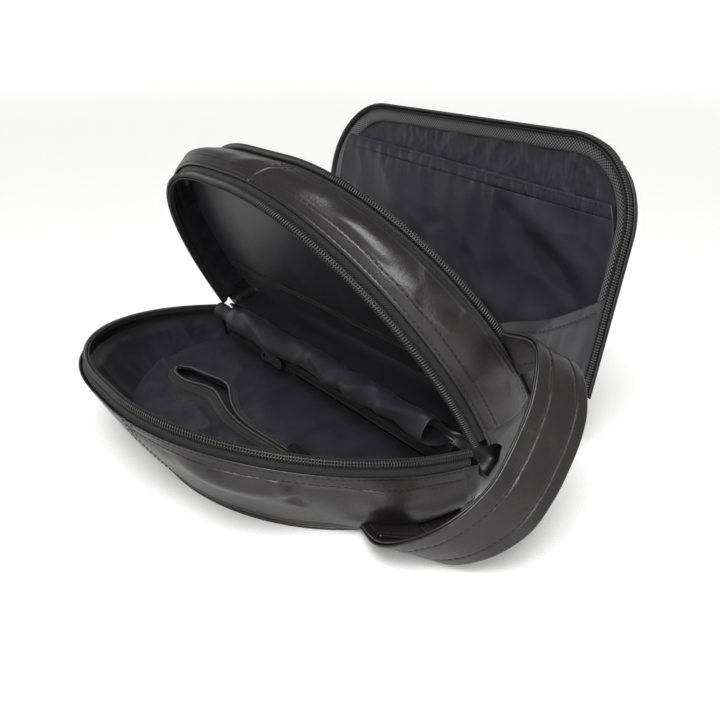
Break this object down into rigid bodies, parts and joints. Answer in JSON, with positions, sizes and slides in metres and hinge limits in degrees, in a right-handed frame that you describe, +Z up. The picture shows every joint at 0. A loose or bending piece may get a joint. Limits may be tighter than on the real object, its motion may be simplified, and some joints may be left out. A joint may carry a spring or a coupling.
{
  "type": "toiletry bag",
  "caption": "Soft three-section toiletry bag lying open: rounded front shell, leaning middle section with partition, stiff rear lid, zips all round and a side carrying strap.",
  "frame": {"origin": "the middle of the front panel's flat underside, on which the open bag lies", "axes": "+Z up from the table, +Y along the hinges from the carrying strap's end to the far end, +X from the front shell to the lid"},
  "size_m": [0.2435, 0.3101, 0.1652],
  "materials": {
    "imitation_leather": "semi-gloss grained black",
    "lining_cloth": "woven nylon, dull sheen",
    "zip_tape": "woven herringbone, matte",
    "zip_coil": "moulded nylon, satin",
    "spacer_mesh": "knitted diamond mesh, matte",
    "stiffener_plastic": "matte",
    "stiffener_board": "matte",
    "slider_metal": "polished nickel plate"
  },
  "bodies": {
    "front_shell": {"front_panel": "imitation_leather", "front_wall_near": "imitation_leather", "front_wall_far": "imitation_leather", "front_zip_coil_lower": "zip_coil", "front_zip_tape_lower": "zip_tape", "base_strip_front": "imitation_leather", "front_stiffener": "stiffener_plastic", "inner_pocket_back": "lining_cloth", "inner_pocket_face_hinge_side": "lining_cloth", "inner_pocket_face_arch_side": "lining_cloth", "pocket_zip_tape_hinge_side": "zip_tape", "pocket_zip_coil_hinge_side": "zip_coil", "pocket_zip_tape_arch_side": "zip_tape", "pocket_zip_coil_arch_side": "zip_coil", "front_wall_lining": "lining_cloth", "front_base_lining": "lining_cloth", "base_fold": "imitation_leather", "hinge_pleat": "lining_cloth", "strap_inner_ply": "imitation_leather", "strap_outer_ply": "imitation_leather", "strap_end_patch": "imitation_leather", "main_zip_tail_tape": "zip_tape", "main_zip_tail_coil": "zip_coil"},
    "middle_section": {"middle_band_near": "imitation_leather", "middle_band_far": "imitation_leather", "front_zip_coil_upper": "zip_coil", "front_zip_tape_upper": "zip_tape", "rear_zip_coil_front": "zip_coil", "rear_zip_tape_front": "zip_tape", "base_strip_middle": "imitation_leather", "middle_band_lining": "lining_cloth", "partition_lining_front": "lining_cloth", "partition_board": "stiffener_board", "partition_lining_rear": "lining_cloth", "middle_base_lining": "lining_cloth", "side_gusset_near": "lining_cloth", "side_gusset_far": "lining_cloth", "base_gusset": "imitation_leather"},
    "rear_lid": {"rear_zip_coil_lid": "zip_coil", "rear_zip_tape_lid": "zip_tape", "lid_rim": "imitation_leather", "lid_panel": "imitation_leather", "lid_board": "stiffener_board", "lid_lining": "lining_cloth", "lid_mesh_roll": "spacer_mesh", "slip_pocket": "lining_cloth", "slip_pocket_hem": "lining_cloth", "lid_foot_binding": "imitation_leather"},
    "main_slider": {"main_slider": "slider_metal"},
    "main_pull": {"main_pull": "slider_metal"},
    "pocket_slider": {"pocket_slider": "slider_metal"},
    "pocket_pull": {"pocket_pull": "slider_metal"},
    "rear_slider": {"rear_slider": "slider_metal"},
    "rear_pull": {"rear_pull": "slider_metal"}
  },
  "joints": [
    {"name": "middle_hinge", "type": "hinge", "parent": "front_shell", "child": "middle_section", "pos_m": [0.0455, 0, 0.035], "axis": [0, 1, 0], "range_deg": [-50, 16], "deforming": ["strap_outer_ply", "strap_inner_ply", "base_fold", "hinge_pleat"]},
    {"name": "lid_hinge", "type": "hinge", "parent": "middle_section", "child": "rear_lid", "pos_m": [0.09076, 0, 0.00759], "axis": [0, 1, 0], "range_deg": [-46, 8], "deforming": ["base_gusset", "side_gusset_near", "side_gusset_far"]},
    {"name": "main_slider_slide", "type": "slide", "parent": "front_shell", "child": "main_slider", "axis": [0, 1, 0], "range_m": [-0.014, 0.036]},
    {"name": "main_pull_swing", "type": "hinge", "parent": "main_slider", "child": "main_pull", "pos_m": [0.04076, 0.0584, 0.0202], "axis": [-0.1736, 0, -0.9848], "range_deg": [0, 90]},
    {"name": "pocket_slider_slide", "type": "slide", "parent": "front_shell", "child": "pocket_slider", "axis": [0, 1, 0], "range_m": [-0.005, 0.138]},
    {"name": "pocket_pull_swing", "type": "hinge", "parent": "pocket_slider", "child": "pocket_pull", "pos_m": [-0.0065, -0.0694, 0.0195], "axis": [1, 0, 0], "range_deg": [0, 90]},
    {"name": "rear_slider_slide", "type": "slide", "parent": "rear_lid", "child": "rear_slider", "axis": [0.2198, 0, 0.9755], "range_m": [-0.022, 0.042]},
    {"name": "rear_pull_swing", "type": "hinge", "parent": "rear_slider", "child": "rear_pull", "pos_m": [0.13068, 0.1319, 0.07647], "axis": [0.9755, 0, -0.2198], "range_deg": [0, 90]}
  ]
}
